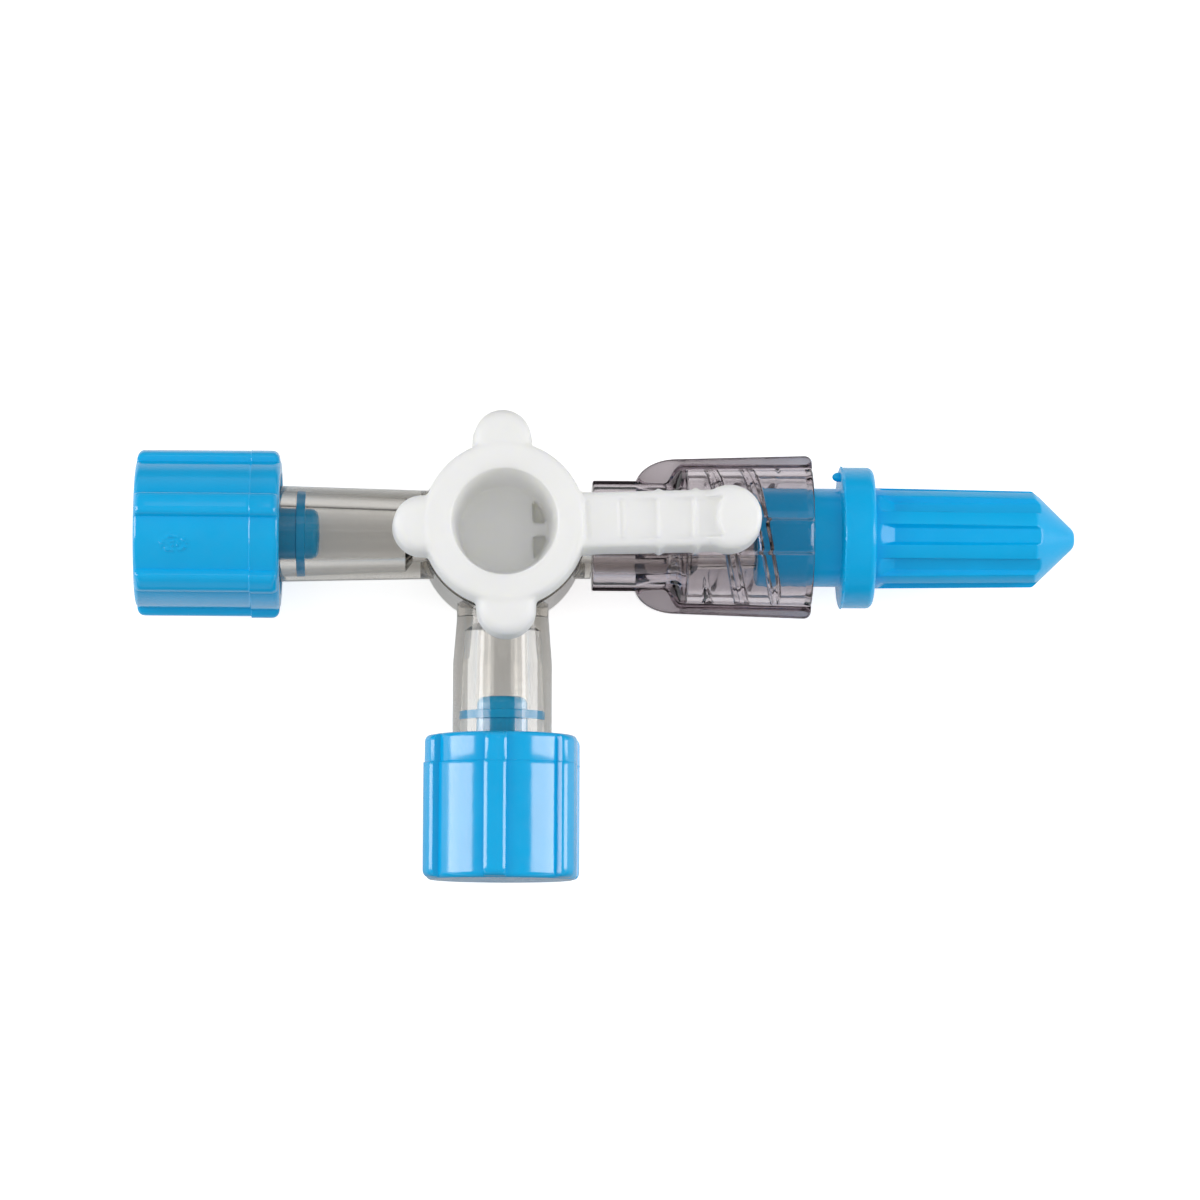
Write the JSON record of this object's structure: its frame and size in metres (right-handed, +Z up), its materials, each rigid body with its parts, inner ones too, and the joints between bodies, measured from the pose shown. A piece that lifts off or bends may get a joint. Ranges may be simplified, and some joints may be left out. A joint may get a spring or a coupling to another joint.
{
  "type": "four-way stopcock",
  "caption": "Luer stopcock for infusion lines: a turning tap in a clear branched barrel, a swivel lock collar on the male end, a push-on guard cap and screw-on port caps.",
  "frame": {"origin": "centre of the barrel's underside, on the axis that the tap turns about", "axes": "+X along the male arm, -Y along the side arm, +Z up along the tap's axis"},
  "size_m": [0.0648, 0.0316, 0.0154],
  "materials": {
    "clear_body": "polished clear polycarbonate",
    "white_tap": "satin white polyethylene",
    "smoke_collar": "polished smoky clear polycarbonate",
    "blue_guard": "satin blue polyethylene",
    "blue_cap": "satin blue polyethylene"
  },
  "bodies": {
    "body": {"valve_body": "clear_body"},
    "tap": {"tap": "white_tap"},
    "collar": {"lock_collar": "smoke_collar"},
    "guard": {"guard_cap": "blue_guard"},
    "inlet_cap": {"inlet_cap": "blue_cap"},
    "side_cap": {"side_cap": "blue_cap"}
  },
  "joints": [
    {"name": "tap_turn", "type": "hinge", "parent": "body", "child": "tap", "pos_m": [0, 0, 0.006], "axis": [0, 0, 1], "continuous": true},
    {"name": "collar_spin", "type": "hinge", "parent": "body", "child": "collar", "pos_m": [0.0093, 0, 0.006], "axis": [1, 0, 0], "continuous": true},
    {"name": "guard_pull", "type": "slide", "parent": "body", "child": "guard", "axis": [1, 0, 0], "range_m": [0, 0.01]},
    {"name": "inlet_cap_off", "type": "slide", "parent": "body", "child": "inlet_cap", "axis": [-1, 0, 0], "range_m": [0, 0.014]},
    {"name": "side_cap_off", "type": "slide", "parent": "body", "child": "side_cap", "axis": [0, -1, 0], "range_m": [0, 0.014]}
  ]
}
